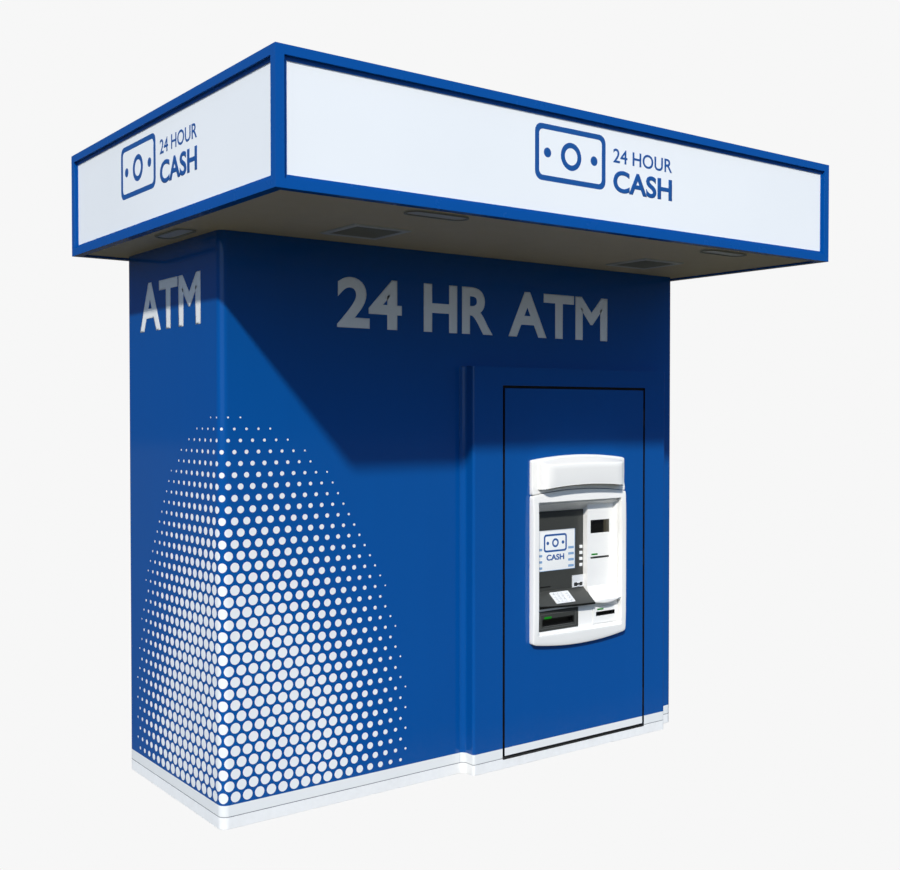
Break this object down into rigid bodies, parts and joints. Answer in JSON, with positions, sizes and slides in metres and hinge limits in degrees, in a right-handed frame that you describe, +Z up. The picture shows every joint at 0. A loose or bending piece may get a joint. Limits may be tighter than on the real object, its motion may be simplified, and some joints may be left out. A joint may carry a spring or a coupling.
{
  "type": "atm kiosk",
  "caption": "Free-standing cash machine kiosk with a lit overhanging canopy, a raised front bay with a white fascia, and a safe inside.",
  "frame": {"origin": "centre of the whole kiosk's footprint, canopy included, at ground level", "axes": "+X to the right along the front as a user sees it, +Y from the front into the depth, +Z up"},
  "size_m": [3.406, 2.289, 3.3],
  "materials": {
    "blue_paint": "gloss",
    "frame_blue": "satin",
    "white_paint": "satin",
    "soffit_paint": "satin",
    "roof_coating": "matte",
    "sign_white": "satin",
    "light_housing": "satin",
    "seal_rubber": "matte",
    "galvanised_steel": "satin",
    "fascia_white": "satin",
    "panel_black": "satin",
    "screen_glass": "gloss",
    "key_white": "satin",
    "key_steel": "satin",
    "keypad_steel": "satin",
    "reader_silver": "satin",
    "shutter_black": "satin",
    "safe_paint": "satin",
    "lever_chrome": "gloss",
    "cassette_plastic": "satin",
    "sheet_steel": "satin"
  },
  "bodies": {
    "kiosk": {"base_slab": "white_paint", "left_wall": "blue_paint", "right_wall": "blue_paint", "front_wall": "blue_paint", "rear_wall": "blue_paint", "bay_surround": "blue_paint", "door_seal": "seal_rubber", "steel_frame": "galvanised_steel", "canopy_frame": "frame_blue", "sign_faces": "sign_white", "soffit_panel": "soffit_paint", "canopy_lights": "light_housing", "roof_deck": "roof_coating", "niche_shell": "fascia_white", "display_bezel": "panel_black", "screen_and_camera_glass": "screen_glass", "service_column": "fascia_white", "card_reader": "reader_silver", "keypad_shelf": "panel_black", "keypad_plate": "keypad_steel", "cash_dispenser": "panel_black", "depository": "fascia_white", "safe_body": "safe_paint", "cash_cassettes": "cassette_plastic", "atm_chassis": "sheet_steel"},
    "front_door": {"front_door": "blue_paint", "fascia_collar": "fascia_white", "fascia_hood": "fascia_white"},
    "rear_door": {"rear_door": "blue_paint"},
    "rear_door_lever": {"rear_door_lever": "lever_chrome"},
    "safe_door": {"safe_door": "safe_paint"},
    "safe_handle": {"safe_handle": "lever_chrome"},
    "electronics_tray": {"electronics_tray": "sheet_steel"},
    "receipt_printer": {"receipt_printer": "cassette_plastic"},
    "cash_shutter": {"cash_shutter": "shutter_black"},
    "deposit_shutter": {"deposit_shutter": "shutter_black"},
    "keypad_key_1": {"keypad_key_1": "key_steel"},
    "keypad_key_2": {"keypad_key_2": "key_steel"},
    "keypad_key_3": {"keypad_key_3": "key_steel"},
    "keypad_key_4": {"keypad_key_4": "key_steel"},
    "keypad_key_5": {"keypad_key_5": "key_steel"},
    "keypad_key_6": {"keypad_key_6": "key_steel"},
    "keypad_key_7": {"keypad_key_7": "key_steel"},
    "keypad_key_8": {"keypad_key_8": "key_steel"},
    "keypad_key_9": {"keypad_key_9": "key_steel"},
    "keypad_key_10": {"keypad_key_10": "key_steel"},
    "keypad_key_11": {"keypad_key_11": "key_steel"},
    "keypad_key_12": {"keypad_key_12": "key_steel"},
    "keypad_key_13": {"keypad_key_13": "key_steel"},
    "keypad_key_14": {"keypad_key_14": "key_steel"},
    "keypad_key_15": {"keypad_key_15": "key_steel"},
    "keypad_key_16": {"keypad_key_16": "key_steel"},
    "function_key_1": {"function_key_1": "key_white"},
    "function_key_2": {"function_key_2": "key_white"},
    "function_key_3": {"function_key_3": "key_white"},
    "function_key_4": {"function_key_4": "key_white"},
    "function_key_5": {"function_key_5": "key_white"},
    "function_key_6": {"function_key_6": "key_white"},
    "function_key_7": {"function_key_7": "key_white"},
    "function_key_8": {"function_key_8": "key_white"}
  },
  "joints": [
    {"name": "front_door_hinge", "type": "hinge", "parent": "kiosk", "child": "front_door", "pos_m": [1.279, -0.1675, 1.07], "axis": [0, 0, 1], "range_deg": [0, 95]},
    {"name": "rear_door_hinge", "type": "hinge", "parent": "kiosk", "child": "rear_door", "pos_m": [1.223, 1.0815, 1.05], "axis": [0, 0, -1], "range_deg": [0, 100]},
    {"name": "rear_lever_turn", "type": "hinge", "parent": "rear_door", "child": "rear_door_lever", "pos_m": [0.398, 1.0715, 1.05], "axis": [0, 1, 0], "range_deg": [0, 45], "stiffness_Nm_per_rad": 1.5, "springref_deg": -28.65},
    {"name": "safe_door_hinge", "type": "hinge", "parent": "kiosk", "child": "safe_door", "pos_m": [0.996, 0.4215, 0.48], "axis": [0, 0, -1], "range_deg": [0, 90]},
    {"name": "safe_handle_turn", "type": "hinge", "parent": "safe_door", "child": "safe_handle", "pos_m": [0.738, 0.4115, 0.48], "axis": [0, 1, 0], "range_deg": [0, 90]},
    {"name": "electronics_tray_slide", "type": "slide", "parent": "kiosk", "child": "electronics_tray", "axis": [0, 1, 0], "range_m": [0, 0.35]},
    {"name": "receipt_printer_slide", "type": "slide", "parent": "kiosk", "child": "receipt_printer", "axis": [0, 1, 0], "range_m": [0, 0.2]},
    {"name": "cash_shutter_lift", "type": "slide", "parent": "kiosk", "child": "cash_shutter", "axis": [0, 0, 1], "range_m": [0, 0.03]},
    {"name": "deposit_shutter_lift", "type": "slide", "parent": "kiosk", "child": "deposit_shutter", "axis": [0, 0, 1], "range_m": [0, 0.02]},
    {"name": "keypad_key_1_press", "type": "slide", "parent": "kiosk", "child": "keypad_key_1", "axis": [0, 0.6174, -0.7866], "range_m": [0, 0.002], "stiffness_N_per_m": 800},
    {"name": "keypad_key_2_press", "type": "slide", "parent": "kiosk", "child": "keypad_key_2", "axis": [0, 0.6174, -0.7866], "range_m": [0, 0.002], "stiffness_N_per_m": 800},
    {"name": "keypad_key_3_press", "type": "slide", "parent": "kiosk", "child": "keypad_key_3", "axis": [0, 0.6174, -0.7866], "range_m": [0, 0.002], "stiffness_N_per_m": 800},
    {"name": "keypad_key_4_press", "type": "slide", "parent": "kiosk", "child": "keypad_key_4", "axis": [0, 0.6174, -0.7866], "range_m": [0, 0.002], "stiffness_N_per_m": 800},
    {"name": "keypad_key_5_press", "type": "slide", "parent": "kiosk", "child": "keypad_key_5", "axis": [0, 0.6174, -0.7866], "range_m": [0, 0.002], "stiffness_N_per_m": 800},
    {"name": "keypad_key_6_press", "type": "slide", "parent": "kiosk", "child": "keypad_key_6", "axis": [0, 0.6174, -0.7866], "range_m": [0, 0.002], "stiffness_N_per_m": 800},
    {"name": "keypad_key_7_press", "type": "slide", "parent": "kiosk", "child": "keypad_key_7", "axis": [0, 0.6174, -0.7866], "range_m": [0, 0.002], "stiffness_N_per_m": 800},
    {"name": "keypad_key_8_press", "type": "slide", "parent": "kiosk", "child": "keypad_key_8", "axis": [0, 0.6174, -0.7866], "range_m": [0, 0.002], "stiffness_N_per_m": 800},
    {"name": "keypad_key_9_press", "type": "slide", "parent": "kiosk", "child": "keypad_key_9", "axis": [0, 0.6174, -0.7866], "range_m": [0, 0.002], "stiffness_N_per_m": 800},
    {"name": "keypad_key_10_press", "type": "slide", "parent": "kiosk", "child": "keypad_key_10", "axis": [0, 0.6174, -0.7866], "range_m": [0, 0.002], "stiffness_N_per_m": 800},
    {"name": "keypad_key_11_press", "type": "slide", "parent": "kiosk", "child": "keypad_key_11", "axis": [0, 0.6174, -0.7866], "range_m": [0, 0.002], "stiffness_N_per_m": 800},
    {"name": "keypad_key_12_press", "type": "slide", "parent": "kiosk", "child": "keypad_key_12", "axis": [0, 0.6174, -0.7866], "range_m": [0, 0.002], "stiffness_N_per_m": 800},
    {"name": "keypad_key_13_press", "type": "slide", "parent": "kiosk", "child": "keypad_key_13", "axis": [0, 0.6174, -0.7866], "range_m": [0, 0.002], "stiffness_N_per_m": 800},
    {"name": "keypad_key_14_press", "type": "slide", "parent": "kiosk", "child": "keypad_key_14", "axis": [0, 0.6174, -0.7866], "range_m": [0, 0.002], "stiffness_N_per_m": 800},
    {"name": "keypad_key_15_press", "type": "slide", "parent": "kiosk", "child": "keypad_key_15", "axis": [0, 0.6174, -0.7866], "range_m": [0, 0.002], "stiffness_N_per_m": 800},
    {"name": "keypad_key_16_press", "type": "slide", "parent": "kiosk", "child": "keypad_key_16", "axis": [0, 0.6174, -0.7866], "range_m": [0, 0.002], "stiffness_N_per_m": 800},
    {"name": "function_key_1_press", "type": "slide", "parent": "kiosk", "child": "function_key_1", "axis": [0, 1, 0], "range_m": [0, 0.002], "stiffness_N_per_m": 800},
    {"name": "function_key_2_press", "type": "slide", "parent": "kiosk", "child": "function_key_2", "axis": [0, 1, 0], "range_m": [0, 0.002], "stiffness_N_per_m": 800},
    {"name": "function_key_3_press", "type": "slide", "parent": "kiosk", "child": "function_key_3", "axis": [0, 1, 0], "range_m": [0, 0.002], "stiffness_N_per_m": 800},
    {"name": "function_key_4_press", "type": "slide", "parent": "kiosk", "child": "function_key_4", "axis": [0, 1, 0], "range_m": [0, 0.002], "stiffness_N_per_m": 800},
    {"name": "function_key_5_press", "type": "slide", "parent": "kiosk", "child": "function_key_5", "axis": [0, 1, 0], "range_m": [0, 0.002], "stiffness_N_per_m": 800},
    {"name": "function_key_6_press", "type": "slide", "parent": "kiosk", "child": "function_key_6", "axis": [0, 1, 0], "range_m": [0, 0.002], "stiffness_N_per_m": 800},
    {"name": "function_key_7_press", "type": "slide", "parent": "kiosk", "child": "function_key_7", "axis": [0, 1, 0], "range_m": [0, 0.002], "stiffness_N_per_m": 800},
    {"name": "function_key_8_press", "type": "slide", "parent": "kiosk", "child": "function_key_8", "axis": [0, 1, 0], "range_m": [0, 0.002], "stiffness_N_per_m": 800}
  ]
}
